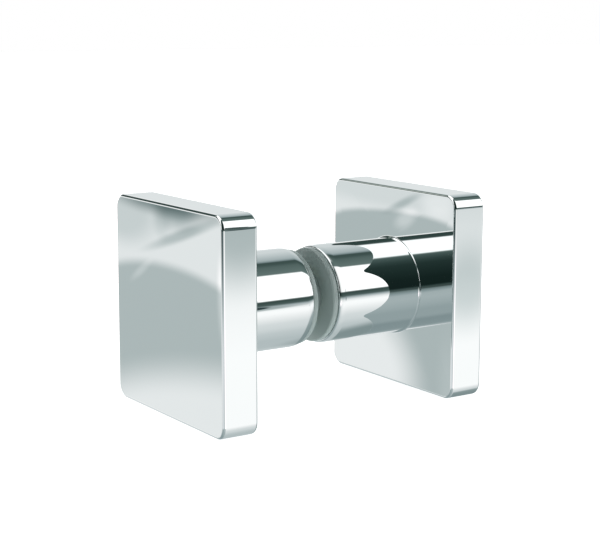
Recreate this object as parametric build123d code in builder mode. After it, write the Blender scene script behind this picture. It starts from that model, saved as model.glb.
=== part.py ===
from build123d import *
from math import radians, tan
import os

os.makedirs("parts", exist_ok=True)

# Back-to-back shower door handle, in millimetres.
# The origin is on the stems' axis, midway through the glass, which lies in the XZ plane.
# The front knob points to -Y and the rear knob to +Y.

# Square plates that the hand pulls
plate_side = 50.0
plate_thickness = 9.0
plate_corner_radius = 3.3
plate_edge_radius = 0.5

# Round stems between the plates and the glass
stem_diameter = 24.0
stem_length = 24.0
stem_root_flare = 0.5
stem_end_chamfer = 0.8

# Gap for the glass, and the washers that press on it
glass_gap = 4.3
washer_thickness = 1.5
washer_rim_step = 0.5
washer_edge_chamfer = 0.35

# Stud through the glass, drawn at the major diameter of its thread
stud_diameter = 8.0
stud_engagement = 12.0
stud_end_chamfer = 0.8
thread_clearance = 0.05
tap_run_out = 2.0
drill_point_angle = 118.0
hole_entry_chamfer = 0.6

# Sleeve that keeps the stud off the edge of the glass hole
sleeve_wall = 1.6
sleeve_bore_clearance = 0.3
sleeve_end_clearance = 0.1
washer_hole_clearance = 0.15

# Grooved ferrule that clamps the glass and carries the rear knob
ferrule_diameter = 16.0
ferrule_length = 14.0
ferrule_chamfer = 0.6
ferrule_bore_clearance = 0.1
ferrule_end_room = 1.0
groove_depth = 1.5
groove_floor_width = 2.4
driver_slot_width = 2.5
driver_slot_depth = 2.0

# Grub screw under the rear stem, with its point in the groove
grub_diameter = 5.0
grub_point_diameter = 1.8
grub_point_clearance = 0.05
grub_inset = 0.4
hex_socket_across_flats = 2.5
hex_socket_depth = 2.2

# Radii
stem_radius = stem_diameter / 2
stud_radius = stud_diameter / 2
tapped_radius = stud_radius + thread_clearance
sleeve_bore_radius = stud_radius + sleeve_bore_clearance
sleeve_radius = sleeve_bore_radius + sleeve_wall
washer_hole_radius = sleeve_radius + washer_hole_clearance
washer_radius = stem_radius - washer_rim_step
ferrule_radius = ferrule_diameter / 2
ferrule_bore_radius = ferrule_radius + ferrule_bore_clearance
groove_floor_radius = ferrule_radius - groove_depth
grub_radius = grub_diameter / 2
grub_point_radius = grub_point_diameter / 2

# Places along the axis, counted from the middle of the glass
washer_face = glass_gap / 2
stem_end = washer_face + washer_thickness
plate_inner = stem_end + stem_length
sleeve_end = stem_end - sleeve_end_clearance
stud_end = stem_end + stud_engagement
tapped_end = stud_end + tap_run_out
ferrule_end = stem_end + ferrule_length
groove_middle = stem_end + ferrule_length / 2
ferrule_bore_end = max(ferrule_end, stud_end) + ferrule_end_room


def across(distance):
    """Plane square to the stems' axis at a distance behind the glass's middle, facing +Y."""
    return Plane(origin=(0, distance, 0), x_dir=(1, 0, 0), z_dir=(0, 1, 0))


# Outer form that both knobs share, drawn for the rear side of the glass
with BuildPart() as knob_form:
    with BuildSketch(across(plate_inner)):
        RectangleRounded(plate_side, plate_side, plate_corner_radius)
    extrude(amount=plate_thickness)
    plate_faces = knob_form.faces().filter_by(Axis.Y)
    fillet(plate_faces.edges(), plate_edge_radius)
    with BuildSketch(across(stem_end)):
        Circle(stem_radius)
    extrude(amount=stem_length)
    stem_circles = knob_form.edges().filter_by(GeomType.CIRCLE).filter_by(
        lambda edge: abs(edge.radius - stem_radius) < 1e-4
    )
    chamfer(stem_circles.sort_by(Axis.Y)[-1], stem_root_flare)
    chamfer(stem_circles.sort_by(Axis.Y)[0], stem_end_chamfer)

# Front knob, with a drilled and tapped blind hole for the stud
drill_point = tapped_radius / tan(radians(drill_point_angle / 2))
with BuildPart() as front_knob:
    mirror(knob_form.part, about=Plane.XZ)
    with BuildSketch(Plane.XY):
        with BuildLine():
            Polyline(
                (0, -stem_end),
                (tapped_radius + hole_entry_chamfer, -stem_end),
                (tapped_radius, -stem_end - hole_entry_chamfer),
                (tapped_radius, -tapped_end),
                (0, -tapped_end - drill_point),
                close=True,
            )
        make_face()
    revolve(axis=Axis.Y, mode=Mode.SUBTRACT)
front_knob.part.label = "front_knob"

# Rear knob, bored to slide over the ferrule, with a tapped hole underneath for the grub screw
with BuildPart() as rear_knob:
    add(knob_form.part)
    stem_face = rear_knob.faces().sort_by(Axis.Y)[0]
    with Locations(stem_face):
        CounterSinkHole(
            ferrule_bore_radius,
            ferrule_bore_radius + hole_entry_chamfer,
            depth=ferrule_bore_end - stem_end,
            counter_sink_angle=90,
        )
    with Locations(Plane(origin=(0, groove_middle, -stem_radius), z_dir=(0, 0, -1))):
        Hole(grub_radius + thread_clearance, depth=stem_radius)
rear_knob.part.label = "rear_knob"

# Clear washer on the rear side of the glass, and its mirror image on the front side
with BuildPart() as rear_washer:
    with BuildSketch(across(washer_face)):
        Circle(washer_radius)
        Circle(washer_hole_radius, mode=Mode.SUBTRACT)
    extrude(amount=washer_thickness)
    washer_circles = rear_washer.edges().filter_by(GeomType.CIRCLE).sort_by(SortBy.RADIUS)
    chamfer(washer_circles[-2:], washer_edge_chamfer)
rear_washer.part.label = "rear_washer"

with BuildPart() as front_washer:
    mirror(rear_washer.part, about=Plane.XZ)
front_washer.part.label = "front_washer"

# Sleeve round the stud, from the front stem to the ferrule
with BuildPart() as glass_sleeve:
    with BuildSketch(across(-sleeve_end)):
        Circle(sleeve_radius)
        Circle(sleeve_bore_radius, mode=Mode.SUBTRACT)
    extrude(amount=2 * sleeve_end)
glass_sleeve.part.label = "glass_sleeve"

# Stud, screwed into the front knob and the ferrule
with BuildPart() as stud:
    with BuildSketch(across(-stud_end)):
        Circle(stud_radius)
    extrude(amount=2 * stud_end)
    chamfer(stud.edges().filter_by(GeomType.CIRCLE), stud_end_chamfer)
stud.part.label = "stud"

# Ferrule, with a vee groove for the grub screw and a slot across its far end for a driver
groove_mouth_half = groove_floor_width / 2 + groove_depth
with BuildPart() as clamp_ferrule:
    with BuildSketch(Plane.XY):
        with BuildLine():
            Polyline(
                (tapped_radius, stem_end),
                (ferrule_radius - ferrule_chamfer, stem_end),
                (ferrule_radius, stem_end + ferrule_chamfer),
                (ferrule_radius, groove_middle - groove_mouth_half),
                (groove_floor_radius, groove_middle - groove_floor_width / 2),
                (groove_floor_radius, groove_middle + groove_floor_width / 2),
                (ferrule_radius, groove_middle + groove_mouth_half),
                (ferrule_radius, ferrule_end - ferrule_chamfer),
                (ferrule_radius - ferrule_chamfer, ferrule_end),
                (tapped_radius, ferrule_end),
                close=True,
            )
        make_face()
    revolve(axis=Axis.Y)
    with BuildSketch(across(ferrule_end)):
        Rectangle(ferrule_diameter, driver_slot_width)
    extrude(amount=-driver_slot_depth, mode=Mode.SUBTRACT)
clamp_ferrule.part.label = "clamp_ferrule"

# Grub screw, with a cone point and a hexagon socket in its outer end
grub_point = groove_floor_radius + grub_point_clearance
grub_shoulder = grub_point + grub_radius - grub_point_radius
grub_outer = stem_radius - grub_inset
with BuildPart() as grub_screw:
    with BuildSketch(Plane.XZ.offset(-groove_middle)):
        with BuildLine():
            Polyline(
                (0, -grub_point),
                (grub_point_radius, -grub_point),
                (grub_radius, -grub_shoulder),
                (grub_radius, -grub_outer),
                (0, -grub_outer),
                close=True,
            )
        make_face()
    revolve(axis=Axis((0, groove_middle, 0), (0, 0, 1)))
    with BuildSketch(Plane(origin=(0, groove_middle, -grub_outer), z_dir=(0, 0, -1))):
        RegularPolygon(hex_socket_across_flats / 2, 6, major_radius=False)
    extrude(amount=-hex_socket_depth, mode=Mode.SUBTRACT)
grub_screw.part.label = "grub_screw"

export_step(front_knob.part, "parts/front_knob.step")
export_step(rear_knob.part, "parts/rear_knob.step")
export_step(front_washer.part, "parts/front_washer.step")
export_step(rear_washer.part, "parts/rear_washer.step")
export_step(glass_sleeve.part, "parts/glass_sleeve.step")
export_step(stud.part, "parts/stud.step")
export_step(clamp_ferrule.part, "parts/clamp_ferrule.step")
export_step(grub_screw.part, "parts/grub_screw.step")
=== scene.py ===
"""Back-to-back shower door handle in polished chrome, on a pale studio floor.

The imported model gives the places. Each operator models one piece or group of like pieces, and the last one
makes the floor, the studio round it and the camera.
"""

import math

import bmesh
import bpy
from bpy.props import FloatProperty, FloatVectorProperty, PointerProperty
from mathutils import Matrix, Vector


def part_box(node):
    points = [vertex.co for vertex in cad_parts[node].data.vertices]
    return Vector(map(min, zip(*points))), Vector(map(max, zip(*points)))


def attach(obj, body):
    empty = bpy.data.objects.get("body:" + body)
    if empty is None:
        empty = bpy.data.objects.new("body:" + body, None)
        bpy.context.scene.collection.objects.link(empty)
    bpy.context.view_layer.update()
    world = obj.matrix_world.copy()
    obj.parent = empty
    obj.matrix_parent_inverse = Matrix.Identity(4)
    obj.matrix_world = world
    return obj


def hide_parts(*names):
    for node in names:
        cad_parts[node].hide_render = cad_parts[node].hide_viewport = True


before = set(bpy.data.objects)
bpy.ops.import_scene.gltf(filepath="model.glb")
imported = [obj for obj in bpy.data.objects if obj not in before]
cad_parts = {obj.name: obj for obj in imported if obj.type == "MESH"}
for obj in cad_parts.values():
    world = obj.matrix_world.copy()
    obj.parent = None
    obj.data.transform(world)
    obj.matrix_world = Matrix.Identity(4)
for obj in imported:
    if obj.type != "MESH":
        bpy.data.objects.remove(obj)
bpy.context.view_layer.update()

bl_info = {
    "name": "Shower Door Handle",
    "version": (1, 0, 0),
    "blender": (4, 5, 0),
    "location": "3D View > Sidebar > Door Handle",
    "description": "Models a chrome shower door handle with its washers and clamp, and lights it in a studio",
    "category": "Object",
}

BODY = "root"
TINY = 1e-6


def reach(node, axis):
    """Lowest and highest place of a node along an axis."""
    low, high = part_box(node)
    return low[axis], high[axis]


STEM_END, PLATE_OUTER = reach("rear_knob", 1)
PLATE_SIDE = reach("rear_knob", 0)[1] - reach("rear_knob", 0)[0]
WASHER_RADIUS = reach("rear_washer", 0)[1]
WASHER_FACE = reach("rear_washer", 1)[0]
SLEEVE_RADIUS = reach("glass_sleeve", 0)[1]
SLEEVE_END = reach("glass_sleeve", 1)[1]
STUD_RADIUS = reach("stud", 0)[1]
STUD_END = reach("stud", 1)[1]
FERRULE_RADIUS = reach("clamp_ferrule", 0)[1]
FERRULE_END = reach("clamp_ferrule", 1)[1]
GRUB_RADIUS = reach("grub_screw", 0)[1]
GRUB_BOTTOM, GRUB_TOP = reach("grub_screw", 2)
GROOVE_MIDDLE = sum(reach("grub_screw", 1)) / 2
FLOOR_HEIGHT = reach("rear_knob", 2)[0]

# Small sizes of the pieces inside the stems, in metres
THREAD_CLEARANCE = 0.00005
FERRULE_CLEARANCE = 0.0001
FERRULE_ROOM = 0.001
TAP_RUN_OUT = 0.002
DRILL_POINT_ANGLE = math.radians(118)
SLEEVE_EDGE = 0.0002
STUD_EDGE = 0.0008
FERRULE_EDGE = 0.0006
GRUB_POINT = 0.0009
GRUB_EDGE = 0.0004


class HandleSizes(bpy.types.PropertyGroup):
    """Sizes of the handle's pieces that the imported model's corners don't give."""

    plate_thickness: FloatProperty(
        name="Plate thickness",
        description="Thickness of each square plate",
        default=0.009,
        unit="LENGTH",
    )
    plate_corner: FloatProperty(
        name="Plate corner",
        description="Radius of the plate's four corners, seen from the front",
        default=0.0033,
        unit="LENGTH",
    )
    plate_edge: FloatProperty(
        name="Plate edge",
        description="Radius of the edges round both faces of the plate",
        default=0.00065,
        unit="LENGTH",
    )
    stem_radius: FloatProperty(
        name="Stem radius",
        description="Radius of the round stem",
        default=0.012,
        unit="LENGTH",
    )
    stem_root: FloatProperty(
        name="Stem root",
        description="Radius of the hollow between the stem and the plate",
        default=0.0005,
        unit="LENGTH",
    )
    stem_shoulder: FloatProperty(
        name="Stem shoulder",
        description="Radius of the slight curve before the stem's glass end",
        default=0.008,
        unit="LENGTH",
    )
    stem_edge: FloatProperty(
        name="Stem edge",
        description="Radius of the edge at the stem's glass end",
        default=0.00035,
        unit="LENGTH",
    )
    hole_entry: FloatProperty(
        name="Hole entry",
        description="Width of the chamfer at the mouth of a drilled hole",
        default=0.0006,
        unit="LENGTH",
    )
    washer_edge: FloatProperty(
        name="Washer edge",
        description="Radius of the washer's outer edges",
        default=0.00045,
        unit="LENGTH",
    )
    washer_hole: FloatProperty(
        name="Washer hole",
        description="Radius of the hole in each washer",
        default=0.00605,
        unit="LENGTH",
    )
    sleeve_bore: FloatProperty(
        name="Sleeve bore",
        description="Inner radius of the sleeve",
        default=0.0043,
        unit="LENGTH",
    )
    stud_pitch: FloatProperty(
        name="Stud pitch",
        description="Distance from one thread of the stud to the next",
        default=0.00125,
        unit="LENGTH",
    )
    grub_pitch: FloatProperty(
        name="Grub screw pitch",
        description="Distance from one thread of the grub screw to the next",
        default=0.0008,
        unit="LENGTH",
    )
    groove: FloatVectorProperty(
        name="Ferrule groove",
        description="Depth and floor width of the groove that takes the grub screw's point",
        default=(0.0015, 0.0024),
        size=2,
        unit="LENGTH",
    )
    driver_slot: FloatVectorProperty(
        name="Driver slot",
        description="Width and depth of the slot across the ferrule's far end",
        default=(0.0025, 0.002),
        size=2,
        unit="LENGTH",
    )
    hex_socket: FloatVectorProperty(
        name="Hexagon socket",
        description="Width across flats and depth of the grub screw's socket",
        default=(0.0025, 0.0022),
        size=2,
        unit="LENGTH",
    )


class HandleFinish(bpy.types.PropertyGroup):
    """Colours of the handle's materials."""

    chrome_tint: FloatVectorProperty(
        name="Chrome",
        description="Colour of the polished chrome",
        default=(0.865, 0.89, 0.89),
        subtype="COLOR",
    )
    plastic_tint: FloatVectorProperty(
        name="Washers",
        description="Colour of the clear grey plastic",
        default=(0.52, 0.63, 0.61),
        subtype="COLOR",
    )


class StudioSettings(bpy.types.PropertyGroup):
    """Where the camera stands, how it is turned and its lens."""

    camera_place: FloatVectorProperty(
        name="Camera place",
        description="Where the camera stands",
        default=(0.2925, -0.19597, 0.0676),
        subtype="TRANSLATION",
        unit="LENGTH",
    )
    camera_azimuth: FloatProperty(
        name="Camera azimuth",
        description="Turn of the camera round the handle, from straight in front towards the right",
        default=math.radians(56.167),
        subtype="ANGLE",
    )
    camera_elevation: FloatProperty(
        name="Camera elevation",
        description="How far the camera looks down",
        default=math.radians(9.777),
        subtype="ANGLE",
    )
    camera_roll: FloatProperty(
        name="Camera roll",
        description="Turn of the camera about its own line of sight",
        default=math.radians(0.099),
        subtype="ANGLE",
    )
    camera_lens: FloatProperty(
        name="Camera lens",
        description="Focal length in millimetres on a sensor 36 mm wide",
        default=88.38,
    )


def pick_edges(test):
    """Selects the edges that pass the test."""
    bpy.ops.mesh.select_mode(type="EDGE")
    bpy.ops.mesh.select_all(action="DESELECT")
    mesh = bmesh.from_edit_mesh(bpy.context.object.data)
    for edge in mesh.edges:
        edge.select = test(edge)
    mesh.select_flush_mode()
    bmesh.update_edit_mesh(bpy.context.object.data)


def pick_faces(test):
    """Selects the faces that pass the test."""
    bpy.ops.mesh.select_mode(type="FACE")
    bpy.ops.mesh.select_all(action="DESELECT")
    mesh = bmesh.from_edit_mesh(bpy.context.object.data)
    for face in mesh.faces:
        face.select = test(face)
    mesh.select_flush_mode()
    bmesh.update_edit_mesh(bpy.context.object.data)


def arc(middle, radius, first, last, steps):
    """Points on an arc round a middle, from the first to the last angle in degrees."""
    angles = [math.radians(first + (last - first) * i / steps) for i in range(steps + 1)]
    return [(middle[0] + radius * math.cos(a), middle[1] + radius * math.sin(a)) for a in angles]


def thread(radius, first, last, pitch):
    """Turned threads, one ridge to a pitch, from the first place to the last."""
    turns = int((last - first) / pitch)
    start = (first + last - turns * pitch) / 2
    root = radius - 0.6 * pitch
    profile = [(root, start)]
    for turn in range(turns):
        foot = start + turn * pitch
        profile += [(radius, foot + 0.45 * pitch), (radius, foot + 0.55 * pitch), (root, foot + pitch)]
    return profile


def turn_on_lathe(name, profile, steps, side=1):
    """Turns a profile of (radius, place along the stems) once round the stems' axis."""
    bpy.ops.object.select_all(action="DESELECT")
    bpy.ops.mesh.primitive_plane_add(size=PLATE_SIDE)
    turned = bpy.context.object
    turned.name = name
    turned.data.name = name
    bpy.ops.object.mode_set(mode="EDIT")
    bpy.ops.mesh.select_mode(type="VERT")
    bpy.ops.mesh.select_all(action="SELECT")
    bpy.ops.mesh.merge(type="CENTER")
    bpy.ops.transform.translate(value=(profile[0][0], side * profile[0][1], 0))
    for here, there in zip(profile, profile[1:]):
        step = (there[0] - here[0], side * (there[1] - here[1]), 0)
        bpy.ops.mesh.extrude_vertices_move(TRANSFORM_OT_translate={"value": step})
    bpy.ops.mesh.select_all(action="SELECT")
    bpy.ops.mesh.spin(steps=steps, angle=2 * math.pi, center=(0, 0, 0), axis=(0, 1, 0))
    bpy.ops.mesh.select_all(action="SELECT")
    bpy.ops.mesh.remove_doubles(threshold=TINY)
    bpy.ops.mesh.normals_make_consistent(inside=False)
    bpy.ops.object.mode_set(mode="OBJECT")
    return turned


def cut(piece, tool):
    """Cuts a tool's form out of a piece."""
    hole = piece.modifiers.new("Cut", "BOOLEAN")
    hole.operation = "DIFFERENCE"
    hole.solver = "EXACT"
    hole.object = tool
    bpy.ops.object.select_all(action="DESELECT")
    piece.select_set(True)
    bpy.context.view_layer.objects.active = piece
    bpy.ops.object.modifier_apply(modifier=hole.name)
    bpy.data.objects.remove(tool)


def smooth(piece, angle=30, by_strength=False):
    """Shades a piece smooth up to an angle, with normals that keep its large faces flat."""
    bpy.ops.object.select_all(action="DESELECT")
    piece.select_set(True)
    bpy.context.view_layer.objects.active = piece
    bpy.ops.object.shade_smooth_by_angle(angle=math.radians(angle))
    weighted = piece.modifiers.new("Flat faces", "WEIGHTED_NORMAL")
    weighted.keep_sharp = True
    weighted.use_face_influence = by_strength
    bpy.ops.object.modifier_apply(modifier=weighted.name)


def finish_piece(piece, material, slot, *nodes):
    """Gives a piece its material, and puts it on the handle in place of its plain solid."""
    piece.data.materials.clear()
    piece.data.materials.append(material)
    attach(piece, BODY)
    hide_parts(*nodes)


def new_material(name):
    """An empty material with its output and a principled shader."""
    material = bpy.data.materials.new(name)
    material.use_nodes = True
    nodes = material.node_tree.nodes
    return material, nodes, material.node_tree.links, nodes["Principled BSDF"]


def noise(nodes, links, scale, detail, stretch=(1, 1, 1)):
    """A noise pattern on the piece's own coordinates."""
    place = nodes.new("ShaderNodeTexCoord")
    mapping = nodes.new("ShaderNodeMapping")
    mapping.inputs["Scale"].default_value = stretch
    pattern = nodes.new("ShaderNodeTexNoise")
    pattern.inputs["Scale"].default_value = scale
    pattern.inputs["Detail"].default_value = detail
    links.new(place.outputs["Object"], mapping.inputs["Vector"])
    links.new(mapping.outputs["Vector"], pattern.inputs["Vector"])
    return pattern.outputs["Fac"]


def to_range(nodes, links, value, low, high):
    """A value from 0 to 1 spread between low and high."""
    spread = nodes.new("ShaderNodeMapRange")
    spread.inputs["To Min"].default_value = low
    spread.inputs["To Max"].default_value = high
    links.new(value, spread.inputs["Value"])
    return spread.outputs["Result"]


def bump(nodes, links, height, depth, under=None):
    """A bump of a depth in metres, on top of another bump if one is given."""
    bumped = nodes.new("ShaderNodeBump")
    bumped.inputs["Strength"].default_value = 1
    bumped.inputs["Distance"].default_value = depth
    links.new(height, bumped.inputs["Height"])
    if under:
        links.new(under, bumped.inputs["Normal"])
    return bumped.outputs["Normal"]


def polished_chrome():
    """Bright chrome over buffed metal, with the faint waves that buffing leaves in flat faces."""
    tint = bpy.context.scene.handle_finish.chrome_tint
    material, nodes, links, shader = new_material("chrome_coat")
    shader.inputs["Base Color"].default_value = (*tint, 1)
    shader.inputs["Metallic"].default_value = 1
    haze = noise(nodes, links, 90, 3)
    links.new(to_range(nodes, links, haze, 0.006, 0.02), shader.inputs["Roughness"])
    waves = bump(nodes, links, noise(nodes, links, 45, 0), 0.000006)
    links.new(waves, shader.inputs["Normal"])
    return material


def clear_plastic():
    """Grey see-through plastic with a soft gloss."""
    tint = bpy.context.scene.handle_finish.plastic_tint
    material, nodes, links, shader = new_material("washer_plastic")
    shader.inputs["Base Color"].default_value = (*tint, 1)
    shader.inputs["Transmission Weight"].default_value = 0.35
    shader.inputs["IOR"].default_value = 1.49
    cloud = noise(nodes, links, 300, 2)
    links.new(to_range(nodes, links, cloud, 0.1, 0.2), shader.inputs["Roughness"])
    return material


def plated_steel():
    """Bright zinc plating on turned steel."""
    material, nodes, links, shader = new_material("zinc_plate")
    shader.inputs["Base Color"].default_value = (0.56, 0.57, 0.58, 1)
    shader.inputs["Metallic"].default_value = 1
    links.new(to_range(nodes, links, noise(nodes, links, 900, 4), 0.2, 0.42), shader.inputs["Roughness"])
    return material


def turned_brass():
    """Brass as it comes off the lathe."""
    material, nodes, links, shader = new_material("brass_bar")
    shader.inputs["Base Color"].default_value = (0.72, 0.58, 0.32, 1)
    shader.inputs["Metallic"].default_value = 1
    rings = noise(nodes, links, 600, 2, (0.1, 8, 0.1))
    links.new(to_range(nodes, links, rings, 0.18, 0.4), shader.inputs["Roughness"])
    links.new(bump(nodes, links, rings, 0.00001), shader.inputs["Normal"])
    return material


def shared(name, make):
    """The material of that name, made once and then shared."""
    return bpy.data.materials.get(name) or make()


class DOORHANDLE_OT_knobs(bpy.types.Operator):
    """Model both knobs, each a square plate on a round stem"""

    bl_idname = "door_handle.knobs"
    bl_label = "Knobs"

    around = 160
    hole_around = 64
    rim_steps = 8
    bend_steps = 8
    shoulder_turn = 12

    def plate(self, sizes, side):
        """The square plate, open where the stem meets it."""
        inner = PLATE_OUTER - sizes.plate_thickness
        bpy.ops.object.select_all(action="DESELECT")
        bpy.ops.mesh.primitive_cube_add(
            size=1,
            location=(0, side * (inner + PLATE_OUTER) / 2, 0),
            scale=(PLATE_SIDE, sizes.plate_thickness, PLATE_SIDE),
        )
        plate = bpy.context.object
        bpy.ops.object.transform_apply(location=True, rotation=True, scale=True)
        bpy.ops.object.mode_set(mode="EDIT")
        pick_edges(lambda e: abs(e.verts[0].co.y - e.verts[1].co.y) > TINY)
        bpy.ops.mesh.bevel(
            offset=sizes.plate_corner,
            segments=self.around // 4 - 1,
            affect="EDGES",
            clamp_overlap=False,
        )
        pick_edges(lambda e: abs(e.verts[0].co.y - e.verts[1].co.y) < TINY)
        bpy.ops.mesh.bevel(
            offset=sizes.plate_edge,
            segments=self.rim_steps,
            affect="EDGES",
            clamp_overlap=False,
            face_strength_mode="ALL",
        )
        pick_faces(lambda f: len(f.verts) == self.around and f.normal.y * side < 0)
        bpy.ops.mesh.delete(type="FACE")
        bpy.ops.object.mode_set(mode="OBJECT")
        return plate

    def stem_profile(self, sizes, bore):
        """Half the stem's section, from its root over the glass end into its bore."""
        inner = PLATE_OUTER - sizes.plate_thickness
        radius, root = sizes.stem_radius, sizes.stem_root
        shoulder, edge = sizes.stem_shoulder, sizes.stem_edge
        turn = math.radians(self.shoulder_turn)
        slim = shoulder - (shoulder - edge) * math.cos(turn)
        rise = edge + (shoulder - edge) * math.sin(turn)
        steps, bend = self.bend_steps, -self.shoulder_turn
        profile = arc((radius + root, inner - root), root, 90, 180, steps)
        profile += arc((radius - shoulder, STEM_END + rise), shoulder, 0, bend, steps)
        profile += arc((radius - slim, STEM_END + edge), edge, bend, -90, steps)[1:]
        return profile + bore

    def knob(self, name, sizes, side, bore):
        """One knob, on the side of the glass that side gives."""
        plate = self.plate(sizes, side)
        stem = turn_on_lathe(name + "_stem", self.stem_profile(sizes, bore), self.around, side)
        if side > 0:
            self.drill_grub_hole(stem)
        inner = PLATE_OUTER - sizes.plate_thickness
        bpy.ops.object.select_all(action="DESELECT")
        stem.select_set(True)
        bpy.ops.transform.translate(value=(0, -side * inner, 0))
        plate.select_set(True)
        bpy.context.view_layer.objects.active = plate
        bpy.ops.object.join()
        bpy.ops.object.mode_set(mode="EDIT")
        pick_edges(lambda e: e.is_boundary)
        bpy.ops.mesh.bridge_edge_loops(type="PAIRS")
        pick_faces(lambda f: all(side * v.co.y < TINY for v in f.verts))
        bpy.ops.transform.translate(value=(0, side * inner, 0))
        bpy.ops.mesh.select_all(action="SELECT")
        bpy.ops.mesh.normals_make_consistent(inside=False)
        bpy.ops.object.mode_set(mode="OBJECT")
        plate.name = name
        plate.data.name = name
        smooth(plate, by_strength=True)
        return plate

    def drill_grub_hole(self, stem):
        """Cuts the tapped hole under the rear stem."""
        bpy.ops.object.select_all(action="DESELECT")
        bpy.ops.mesh.primitive_cylinder_add(
            vertices=self.hole_around,
            radius=GRUB_RADIUS + THREAD_CLEARANCE,
            depth=-GRUB_BOTTOM,
            location=(0, GROOVE_MIDDLE, GRUB_BOTTOM),
        )
        cut(stem, bpy.context.object)

    def execute(self, context):
        sizes = context.scene.handle_sizes
        entry = sizes.hole_entry
        chrome = shared("chrome_coat", polished_chrome)
        tapped = STUD_RADIUS + THREAD_CLEARANCE
        tapped_end = STUD_END + TAP_RUN_OUT
        point = tapped / math.tan(DRILL_POINT_ANGLE / 2)
        front_bore = [(tapped + entry, STEM_END), (tapped, STEM_END + entry), (tapped, tapped_end)]
        front_bore.append((0, tapped_end + point))
        front = self.knob("front_knob_chromed", sizes, -1, front_bore)
        finish_piece(front, chrome, "polished_chrome", "front_knob")
        bored = FERRULE_RADIUS + FERRULE_CLEARANCE
        bore_end = FERRULE_END + FERRULE_ROOM
        rear_bore = [(bored + entry, STEM_END), (bored, STEM_END + entry), (bored, bore_end), (0, bore_end)]
        rear = self.knob("rear_knob_chromed", sizes, 1, rear_bore)
        finish_piece(rear, chrome, "polished_chrome", "rear_knob")
        return {"FINISHED"}


class DOORHANDLE_OT_washers(bpy.types.Operator):
    """Model the two clear washers that press on the glass"""

    bl_idname = "door_handle.washers"
    bl_label = "Washers"

    around = 128
    edge_steps = 6

    def execute(self, context):
        sizes = context.scene.handle_sizes
        plastic = shared("washer_plastic", clear_plastic)
        edge = sizes.washer_edge
        profile = [(sizes.washer_hole, WASHER_FACE)]
        profile += arc((WASHER_RADIUS - edge, WASHER_FACE + edge), edge, -90, 0, self.edge_steps)
        profile += arc((WASHER_RADIUS - edge, STEM_END - edge), edge, 0, 90, self.edge_steps)
        profile += [(sizes.washer_hole, STEM_END), (sizes.washer_hole, WASHER_FACE)]
        for side, name in ((-1, "front"), (1, "rear")):
            washer = turn_on_lathe(name + "_washer_clear", profile, self.around, side)
            smooth(washer)
            finish_piece(washer, plastic, "clear_plastic", name + "_washer")
        return {"FINISHED"}


class DOORHANDLE_OT_sleeve(bpy.types.Operator):
    """Model the sleeve round the stud"""

    bl_idname = "door_handle.sleeve"
    bl_label = "Sleeve"

    around = 96

    def execute(self, context):
        bore = context.scene.handle_sizes.sleeve_bore
        slim = SLEEVE_RADIUS - SLEEVE_EDGE
        outside = [(slim, -SLEEVE_END), (SLEEVE_RADIUS, SLEEVE_EDGE - SLEEVE_END)]
        outside += [(SLEEVE_RADIUS, SLEEVE_END - SLEEVE_EDGE), (slim, SLEEVE_END)]
        profile = [(bore, -SLEEVE_END), *outside, (bore, SLEEVE_END), (bore, -SLEEVE_END)]
        sleeve = turn_on_lathe("glass_sleeve_clear", profile, self.around)
        smooth(sleeve)
        plastic = shared("washer_plastic", clear_plastic)
        finish_piece(sleeve, plastic, "clear_plastic", "glass_sleeve")
        return {"FINISHED"}


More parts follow.
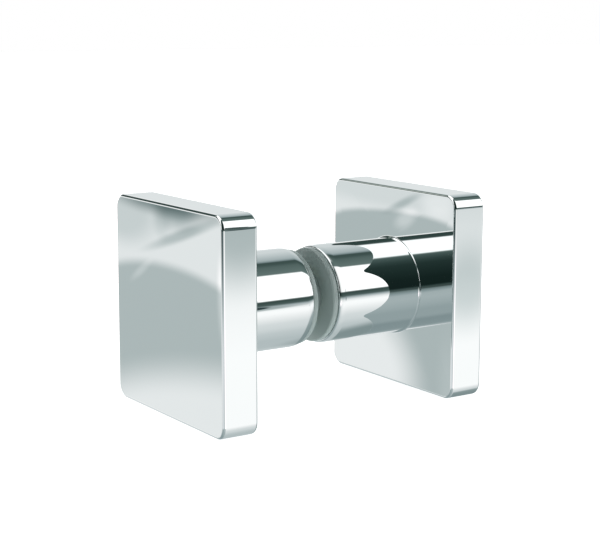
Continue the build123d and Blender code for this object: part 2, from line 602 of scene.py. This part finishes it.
class DOORHANDLE_OT_clamp(bpy.types.Operator):
    """Model the stud, the grooved ferrule on it and the grub screw that holds the rear knob"""

    bl_idname = "door_handle.clamp"
    bl_label = "Clamp"

    around = 96
    thread_around = 48

    def stud(self, sizes):
        """The threaded stud."""
        thin = STUD_RADIUS - STUD_EDGE
        profile = [(0, -STUD_END), (thin, -STUD_END)]
        profile += thread(STUD_RADIUS, STUD_EDGE - STUD_END, STUD_END - STUD_EDGE, sizes.stud_pitch)
        profile += [(thin, STUD_END), (0, STUD_END)]
        return turn_on_lathe("stud_threaded", profile, self.thread_around)

    def ferrule(self, sizes):
        """The round nut, with its groove and driver slot."""
        radius, edge = FERRULE_RADIUS, FERRULE_EDGE
        bore = STUD_RADIUS + THREAD_CLEARANCE
        depth, floor = sizes.groove
        width, reach_in = sizes.driver_slot
        near, far = GROOVE_MIDDLE - floor / 2, GROOVE_MIDDLE + floor / 2
        profile = [(bore, STEM_END), (radius - edge, STEM_END), (radius, STEM_END + edge)]
        profile += [(radius, near - depth), (radius - depth, near)]
        profile += [(radius - depth, far), (radius, far + depth)]
        profile += [(radius, FERRULE_END - edge), (radius - edge, FERRULE_END)]
        profile += [(bore, FERRULE_END), (bore, STEM_END)]
        ferrule = turn_on_lathe("clamp_ferrule_turned", profile, self.around)
        bpy.ops.object.select_all(action="DESELECT")
        bpy.ops.mesh.primitive_cube_add(
            size=1,
            location=(0, FERRULE_END, 0),
            scale=(2 * radius + edge, 2 * reach_in, width),
        )
        cut(ferrule, bpy.context.object)
        return ferrule

    def grub_screw(self, sizes):
        """The socket set screw, turned lying down and then stood under the stem, point up."""
        length = GRUB_TOP - GRUB_BOTTOM
        across, socket = sizes.hex_socket
        shoulder = GRUB_RADIUS - GRUB_POINT
        profile = [(0, 0), (GRUB_POINT, 0)]
        profile += thread(GRUB_RADIUS, shoulder, length, sizes.grub_pitch)
        profile += [(GRUB_RADIUS - GRUB_EDGE, length), (0, length)]
        screw = turn_on_lathe("grub_screw_socket", profile, self.thread_around)
        bpy.ops.object.select_all(action="DESELECT")
        bpy.ops.mesh.primitive_cylinder_add(
            vertices=6,
            radius=across / 2 / math.cos(math.pi / 6),
            depth=2 * socket,
            location=(0, length, 0),
            rotation=(math.pi / 2, 0, 0),
        )
        cut(screw, bpy.context.object)
        screw.rotation_euler = (-math.pi / 2, 0, 0)
        screw.location = (0, GROOVE_MIDDLE, GRUB_TOP)
        bpy.ops.object.transform_apply(location=True, rotation=True, scale=True)
        return screw

    def execute(self, context):
        sizes = context.scene.handle_sizes
        steel = shared("zinc_plate", plated_steel)
        brass = shared("brass_bar", turned_brass)
        for piece, material, slot, node in (
            (self.stud(sizes), steel, "plated_steel", "stud"),
            (self.ferrule(sizes), brass, "turned_brass", "clamp_ferrule"),
            (self.grub_screw(sizes), steel, "plated_steel", "grub_screw"),
        ):
            smooth(piece)
            finish_piece(piece, material, slot, node)
        return {"FINISHED"}


def overhead(level):
    """A cool grey of that brightness, as the studio throws it on chrome, or a plain white from 1 up."""
    if level >= 1:
        return (level, level, level, 1)
    blue = 0.97 if level > 0.2 else 1.03
    return (level**RED_FALL, level, level**blue, 1)


def feed(links, socket, value):
    """Links another node's output to a socket, or sets the socket to a plain value."""
    if isinstance(value, bpy.types.NodeSocket):
        links.new(value, socket)
    else:
        socket.default_value = value


def ramp(nodes, links, value, stops, low, high):
    """A colour ramp over a value from low to high, with stops of (value, brightness)."""
    spread = nodes.new("ShaderNodeMapRange")
    spread.inputs["From Min"].default_value = low
    spread.inputs["From Max"].default_value = high
    links.new(value, spread.inputs["Value"])
    coloured = nodes.new("ShaderNodeValToRGB")
    elements = coloured.color_ramp.elements
    while len(elements) > 1:
        elements.remove(elements[-1])
    for number, (place, level) in enumerate(stops):
        share = (place - low) / (high - low)
        element = elements[0] if number == 0 else elements.new(share)
        element.position = share
        element.color = overhead(level)
    links.new(spread.outputs["Result"], coloured.inputs["Fac"])
    return coloured.outputs["Color"]


def calculate(nodes, links, operation, first, second):
    """One step of arithmetic."""
    step = nodes.new("ShaderNodeMath")
    step.operation = operation
    for socket, value in zip(step.inputs, (first, second)):
        feed(links, socket, value)
    return step.outputs[0]


def blend_colours(nodes, links, share, first, second):
    """The first colour where share is 0 and the second where it is 1."""
    mixed = nodes.new("ShaderNodeMix")
    mixed.data_type = "RGBA"
    mixed.clamp_result = False
    colours = [socket for socket in mixed.inputs if socket.type == "RGBA"]
    for socket, value in zip((mixed.inputs["Factor"], *colours), (share, first, second)):
        feed(links, socket, value)
    return next(socket for socket in mixed.outputs if socket.type == "RGBA")


# How much faster red falls than green where the studio is dark, which makes the greys cool
RED_FALL = 1.2

# Brightness of the softboxes
WHITE = 1.35

# Brightness of the studio by a direction's angle round the stems' axis, in degrees: 0 is level towards +X,
# 90 is straight up. BEHIND is what lies towards +Y and BEFORE what lies towards -Y.
# The levels were set until the stems and edges had the light and dark bands of the photograph.
BEHIND = [
    (-180, 0.66), (-150, 0.66), (-125, 0.56), (-95, 0.56), (-72, 0.64), (-60, 0.73), (-47, 0.78), (-33, 0.94),
    (-22, 1.08), (-15, 1.1), (-10, 0.9), (-4, 0.4), (-1, 0.12), (6, 0.07), (8, 0.1), (10, WHITE), (67, WHITE),
    (70, 0.19), (80, 0.165), (90, 0.14), (98, 0.09), (104, 0.085), (108, 0.3), (113, 0.47), (130, 0.62),
    (148, 0.73), (164, 0.72), (168, 0.77), (171, 0.82), (174, 0.78), (180, 0.62),
]
BEFORE = [
    (-180, 0.84), (-172, 0.88), (-158, 0.86), (-148, 0.6), (-125, 0.36), (-95, 0.34), (-82, 0.43),
    (-60, 0.43), (-45, 0.49), (-28, 0.54), (-18, 0.52), (-12, 0.36), (-6, 0.2), (-2, 0.06),
    (1, 0.018), (20, 0.02), (40, 0.03), (56, 0.04), (66, 0.065), (78, 0.12), (81, 0.2), (84, WHITE),
    (133, WHITE), (138, 0.09), (150, 0.06), (166, 0.07), (168.5, 1.1), (177, 1.1), (180, 0.84),
]
# Where the photograph's camera stood as a plate's outer face, its inner face and its +X side see it, in
# millimetres: across, up and away. The patches below are placed from there and stay put in the room, so
# they lie where the tables say only when the handle is seen from that place.
FRONT_VIEW = (292.5, 67.6, 159.32)
REAR_VIEW = (292.5, 67.6, 223.62)
SIDE_VIEW = (-195.97, 67.6, 267.5)

# Soft patches that the flat faces mirror: (middle, size, turn in degrees, softness, level), in millimetres
# from the face's middle
FRONT_OVALS = (
    ((2, -40), (80, 51), 0, 0.03, 0.61),
    ((13, -73), (120, 60), 12.5, 0.1, 1.7),
    ((-22, 22), (17, 8), 0, 0.4, 0.79),
    ((0, 26), (24, 3.2), 0, 0.6, 0.35),
    ((4.5, 24.5), (9, 4.2), 0, 0.6, 0.55),
    ((-2, 20.5), (3.5, 3), 0, 0.7, 0.82),
    ((8, 19), (15, 1.2), 17, 0.65, 0.66),
    ((-12.5, 8), (4.5, 0.9), 30, 0.8, 1.2),
    ((25, 7), (2, 8), 0, 0.6, 1.3),
)
REAR_OVALS = (
    ((5, -31), (80, 50.5), 0, 0.02, 0.6),
    ((-20, -25), (29, 20), 0, 0.3, 1.78),
    ((6, 17.8), (4, 1.9), 25, 0.7, 1.3),
    ((0, 26), (60, 6), 0, 0.4, 0.88),
    ((5, 22), (6, 1), 24, 0.8, 0.7),
    ((19, 23), (6, 3), 0, 0.6, 1.15),
    ((26, -24), (5, 12), 0, 0.7, 1.1),
)
SIDE_OVALS = (
    ((-32, 26), (12, 15), 0, 0.5, 0.6),
    ((32, 3), (9, 9), 0, 0.7, 0.7),
    ((32, 22), (12, 16), 0, 0.6, 0.9),
)

# Soft patches that only the stems and the rounded edges mirror, placed by a direction's x and z as shares of
# its y, or by its y and z as shares of its x
EDGE_DARK = ((-0.3, 0.12), (1, 0.075), 0, 0.4, 0.08)
EDGE_LIGHT = ((-0.1, 0.3), (0.8, 0.09), 0, 0.4, 1.7)
EDGE_WHITE = ((-0.45, -0.34), (0.12, 0.12), 0, 0.3, 1.7)
RIM_LIGHT = ((0.43, -0.64), (0.2, 0.09), 36, 0.3, 9)
CORNER_DARK = ((0.608, 0.235), (0.018, 0.09), 0, 0.1, 0.06)
CORNER_SOFT = ((0.608, -0.105), (0.018, 0.055), 0, 0.2, 0.14)
UNDER_DARK = ((-0.25, -0.7), (0.95, 0.77), 0, 0.1, 0.54)
SIDE_GLOW = ((0, -0.08), (0.38, 0.3), 0, 0.3, 4)


class DOORHANDLE_OT_stage(bpy.types.Operator):
    """Make the floor, the studio round it and the camera"""

    bl_idname = "door_handle.stage"
    bl_label = "Studio"

    def room(self):
        """The studio's walls and softboxes, as light from every direction."""
        world = bpy.data.worlds.new("Studio")
        bpy.context.scene.world = world
        world.use_nodes = True
        nodes, links = world.node_tree.nodes, world.node_tree.links
        nodes.clear()
        place = nodes.new("ShaderNodeTexCoord")
        split = nodes.new("ShaderNodeSeparateXYZ")
        links.new(place.outputs["Generated"], split.inputs[0])
        angle = calculate(nodes, links, "ARCTAN2", split.outputs["Z"], split.outputs["X"])
        angle = calculate(nodes, links, "MULTIPLY", angle, 180 / math.pi)
        behind = ramp(nodes, links, angle, BEHIND, -180, 180)
        before = ramp(nodes, links, angle, BEFORE, -180, 180)
        x, y, z = split.outputs
        forward = self.ratios(nodes, links, x, z, y)
        sideways = self.ratios(nodes, links, y, z, x)
        side = nodes.new("ShaderNodeMapRange")
        side.interpolation_type = "SMOOTHSTEP"
        side.inputs["From Min"].default_value = 0
        side.inputs["From Max"].default_value = 0.4
        links.new(y, side.inputs["Value"])
        below = calculate(nodes, links, "LESS_THAN", z, 0)
        over_before = self.oval(nodes, links, before, sideways, *RIM_LIGHT)
        under_before = self.ovals(nodes, links, before, forward, FRONT_OVALS, FRONT_VIEW, 1)
        under_before = self.ovals(nodes, links, under_before, forward, REAR_OVALS, REAR_VIEW, 1)
        under_before = self.oval(nodes, links, under_before, forward, *EDGE_DARK)
        under_before = self.oval(nodes, links, under_before, forward, *EDGE_LIGHT)
        under_before = self.oval(nodes, links, under_before, sideways, *SIDE_GLOW)
        over_behind = self.oval(nodes, links, behind, sideways, *EDGE_WHITE)
        over_behind = self.oval(nodes, links, over_behind, sideways, *CORNER_DARK)
        under_behind = self.ovals(nodes, links, behind, sideways, SIDE_OVALS, SIDE_VIEW, -1)
        under_behind = self.oval(nodes, links, under_behind, sideways, *CORNER_SOFT)
        under_behind = self.oval(nodes, links, under_behind, forward, *UNDER_DARK)
        ahead = self.halves(nodes, links, below, over_before, under_before)
        back = self.halves(nodes, links, below, over_behind, under_behind)
        around = self.either(nodes, links, side.outputs["Result"], ahead, back)
        seen = nodes.new("ShaderNodeLightPath")
        backdrop = nodes.new("ShaderNodeBackground")
        backdrop.inputs["Color"].default_value = (1, 1, 1, 1)
        out = nodes.new("ShaderNodeOutputWorld")
        picked = self.either(nodes, links, seen.outputs["Is Camera Ray"], around, backdrop.outputs[0])
        links.new(picked, out.inputs["Surface"])

    def halves(self, nodes, links, below, upper, lower):
        """Light of one colour above the horizon and of another below it."""
        lights = []
        for colour in (upper, lower):
            light = nodes.new("ShaderNodeBackground")
            links.new(colour, light.inputs["Color"])
            lights.append(light.outputs[0])
        return self.either(nodes, links, below, *lights)

    def either(self, nodes, links, share, first, second):
        """The first light where share is 0 and the second where it is 1."""
        mixed = nodes.new("ShaderNodeMixShader")
        for socket, value in zip(mixed.inputs, (share, first, second)):
            links.new(value, socket)
        return mixed.outputs[0]

    def oval(self, nodes, links, colour, place, middle, size, turn, soft, level):
        """Darkens or lightens a soft oval of the studio to a level."""
        oval = nodes.new("ShaderNodeMapping")
        oval.vector_type = "TEXTURE"
        oval.inputs["Location"].default_value = (*middle, 0)
        oval.inputs["Rotation"].default_value = (0, 0, math.radians(turn))
        oval.inputs["Scale"].default_value = (*size, 1)
        links.new(place, oval.inputs["Vector"])
        away = nodes.new("ShaderNodeVectorMath")
        away.operation = "LENGTH"
        links.new(oval.outputs["Vector"], away.inputs[0])
        edge = nodes.new("ShaderNodeMapRange")
        edge.interpolation_type = "SMOOTHSTEP"
        edge.inputs["From Min"].default_value = 1 - soft
        edge.inputs["From Max"].default_value = 1 + soft
        links.new(away.outputs["Value"], edge.inputs["Value"])
        cool = (level**RED_FALL, level, level, 1)
        tint = blend_colours(nodes, links, edge.outputs["Result"], cool, (1, 1, 1, 1))
        product = nodes.new("ShaderNodeVectorMath")
        product.operation = "MULTIPLY"
        links.new(colour, product.inputs[0])
        links.new(tint, product.inputs[1])
        return product.outputs["Vector"]

    def ovals(self, nodes, links, colour, ratios, table, view, sign):
        """Several soft ovals, in millimetres on the face that mirrors them when seen from a place."""
        across, up, away = view
        for middle, size, turn, soft, level in table:
            place = (sign * (across - middle[0]) / away, sign * (up - middle[1]) / away)
            spread = (size[0] / away, size[1] / away)
            colour = self.oval(nodes, links, colour, ratios, place, spread, turn, soft, level)
        return colour

    def ratios(self, nodes, links, first, second, base):
        """Two of a direction's parts, as shares of the third."""
        pair = nodes.new("ShaderNodeCombineXYZ")
        links.new(calculate(nodes, links, "DIVIDE", first, base), pair.inputs["X"])
        links.new(calculate(nodes, links, "DIVIDE", second, base), pair.inputs["Y"])
        return pair.outputs["Vector"]

    def floor(self):
        """The pale floor, which the chrome doesn't mirror."""
        bpy.ops.object.select_all(action="DESELECT")
        bpy.ops.mesh.primitive_plane_add(size=6, location=(0, 0, FLOOR_HEIGHT))
        bpy.ops.object.transform_apply(location=True, rotation=True, scale=True)
        floor = bpy.context.object
        floor.name = "studio_floor"
        material = bpy.data.materials.new("pale_floor")
        material.use_nodes = True
        nodes, links = material.node_tree.nodes, material.node_tree.links
        nodes.clear()
        matt = nodes.new("ShaderNodeBsdfDiffuse")
        matt.inputs["Color"].default_value = (0.8, 0.8, 0.8, 1)
        glow = nodes.new("ShaderNodeEmission")
        glow.inputs["Strength"].default_value = 0.85
        seen = nodes.new("ShaderNodeAddShader")
        links.new(matt.outputs[0], seen.inputs[0])
        links.new(glow.outputs[0], seen.inputs[1])
        clear = nodes.new("ShaderNodeBsdfTransparent")
        path = nodes.new("ShaderNodeLightPath")
        pick = nodes.new("ShaderNodeMixShader")
        links.new(path.outputs["Is Glossy Ray"], pick.inputs[0])
        links.new(seen.outputs[0], pick.inputs[1])
        links.new(clear.outputs[0], pick.inputs[2])
        out = nodes.new("ShaderNodeOutputMaterial")
        links.new(pick.outputs[0], out.inputs["Surface"])
        floor.data.materials.append(material)

    def camera(self, settings):
        """The camera, at the photograph's viewing angle."""
        data = bpy.data.cameras.new("Camera")
        data.sensor_width = 36
        data.lens = settings.camera_lens
        data.clip_start = 0.01
        camera = bpy.data.objects.new("Camera", data)
        bpy.context.scene.collection.objects.link(camera)
        turn = Matrix.Rotation(settings.camera_azimuth, 4, "Z")
        turn @= Matrix.Rotation(math.pi / 2 - settings.camera_elevation, 4, "X")
        turn @= Matrix.Rotation(settings.camera_roll, 4, "Z")
        camera.matrix_world = Matrix.Translation(settings.camera_place) @ turn
        bpy.context.scene.camera = camera

    def execute(self, context):
        self.room()
        self.floor()
        self.camera(context.scene.studio_settings)
        context.scene.view_settings.view_transform = "Standard"
        return {"FINISHED"}


class DOORHANDLE_PT_panel(bpy.types.Panel):
    """Lists the handle's operators"""

    bl_idname = "DOORHANDLE_PT_panel"
    bl_label = "Door Handle"
    bl_space_type = "VIEW_3D"
    bl_region_type = "UI"
    bl_category = "Door Handle"

    def draw(self, context):
        column = self.layout.column()
        for operator in OPERATORS:
            column.operator(operator.bl_idname)


OPERATORS = (
    DOORHANDLE_OT_knobs,
    DOORHANDLE_OT_washers,
    DOORHANDLE_OT_sleeve,
    DOORHANDLE_OT_clamp,
    DOORHANDLE_OT_stage,
)
CLASSES = (HandleSizes, HandleFinish, StudioSettings, *OPERATORS, DOORHANDLE_PT_panel)


def register():
    """Adds the classes and their settings to Blender."""
    for item in CLASSES:
        bpy.utils.register_class(item)
    bpy.types.Scene.handle_sizes = PointerProperty(type=HandleSizes)
    bpy.types.Scene.handle_finish = PointerProperty(type=HandleFinish)
    bpy.types.Scene.studio_settings = PointerProperty(type=StudioSettings)


def unregister():
    """Takes them out again."""
    del bpy.types.Scene.studio_settings
    del bpy.types.Scene.handle_finish
    del bpy.types.Scene.handle_sizes
    for item in reversed(CLASSES):
        bpy.utils.unregister_class(item)


def main():
    """Models the handle and its studio."""
    register()
    bpy.ops.door_handle.knobs()
    bpy.ops.door_handle.washers()
    bpy.ops.door_handle.sleeve()
    bpy.ops.door_handle.clamp()
    bpy.ops.door_handle.stage()


if __name__ == "__main__":
    main()
